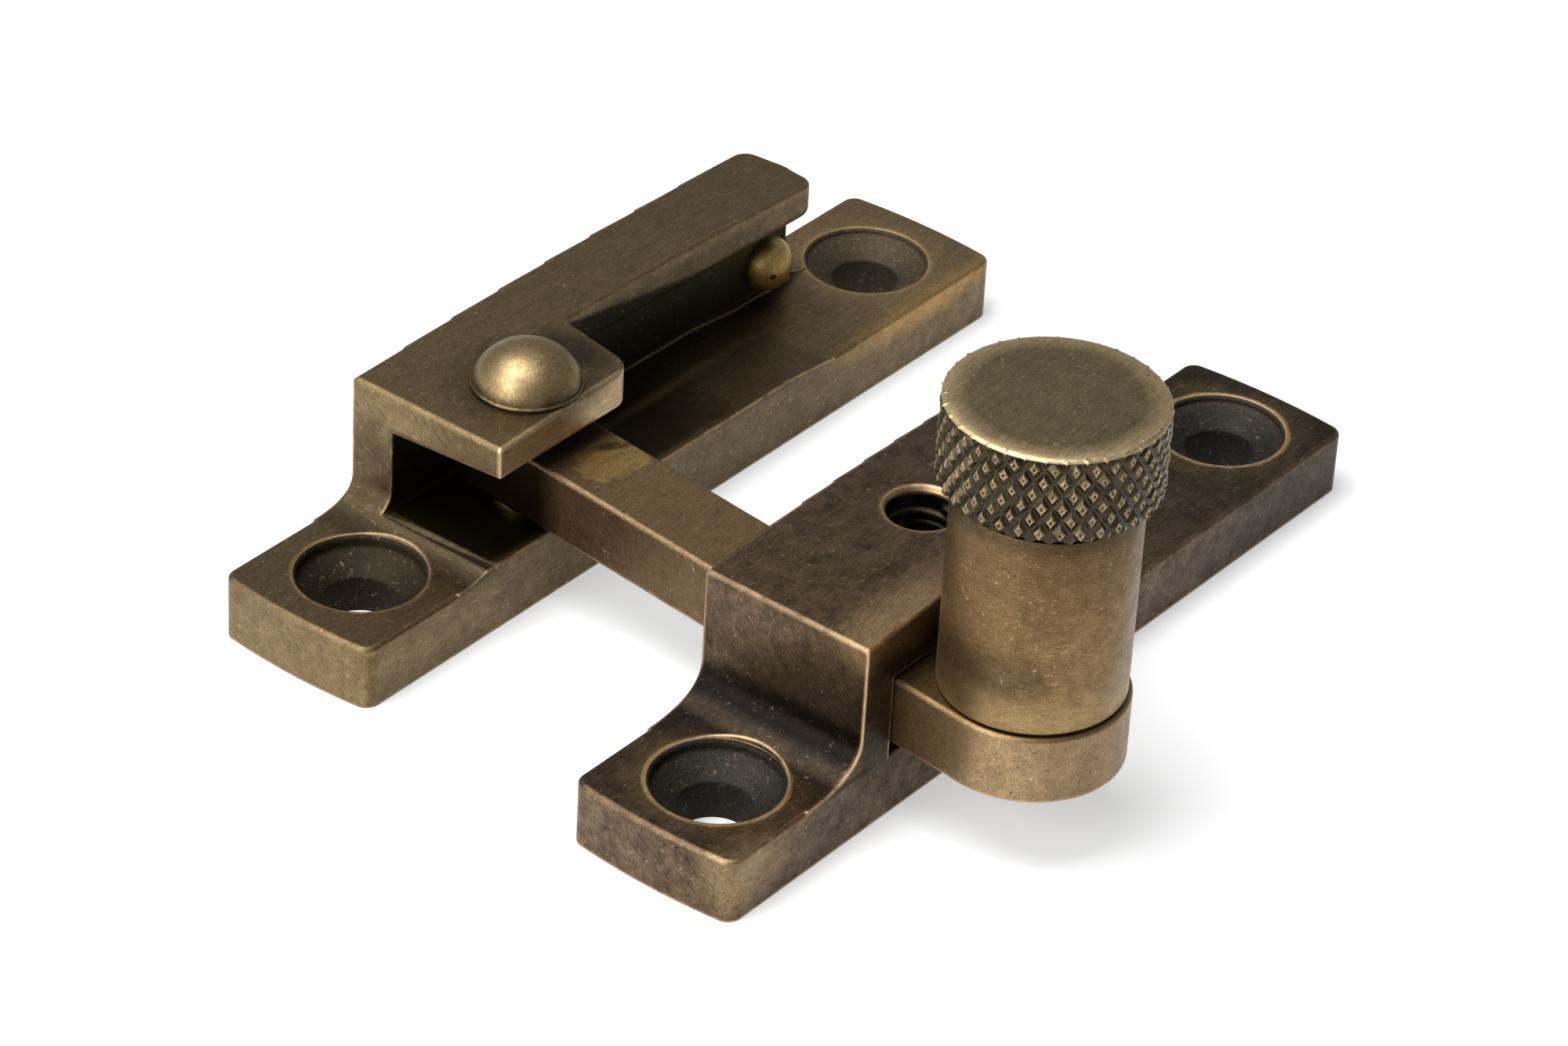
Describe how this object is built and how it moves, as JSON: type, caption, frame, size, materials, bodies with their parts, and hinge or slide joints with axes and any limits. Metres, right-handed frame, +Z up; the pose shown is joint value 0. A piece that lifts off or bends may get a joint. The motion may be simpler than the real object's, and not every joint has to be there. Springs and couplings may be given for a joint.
{
  "type": "quadrant sash fastener",
  "caption": "Quadrant fastener for a sash window: a knobbed arm pivots on its screw-down plate and swings into the roofed slot of a keep plate.",
  "frame": {"origin": "on the arm plate's underside, half-way between its screw holes", "axes": "+X along both plates, +Y from the keep to the arm plate, +Z up from the sash rails"},
  "size_m": [0.0722, 0.0609, 0.0333],
  "materials": {
    "light_aged_brass": "satin, olive-brown with bright worn edges",
    "dark_aged_brass": "mottled brown patina with bright worn edges",
    "plain_brass": "plain turned"
  },
  "bodies": {
    "plates": {"arm_plate": "light_aged_brass", "keep_plate": "dark_aged_brass", "pivot_rivet": "light_aged_brass", "lower_washer": "plain_brass", "upper_washer": "plain_brass", "stop_peg": "light_aged_brass"},
    "arm": {"arm": "light_aged_brass", "knob": "light_aged_brass", "knob_screw": "plain_brass"}
  },
  "joints": [
    {"name": "arm_swing", "type": "hinge", "parent": "plates", "child": "arm", "pos_m": [-0.0142, -0.00266, 0.0085], "axis": [0, 0, 1], "range_deg": [0, 93.1]}
  ]
}
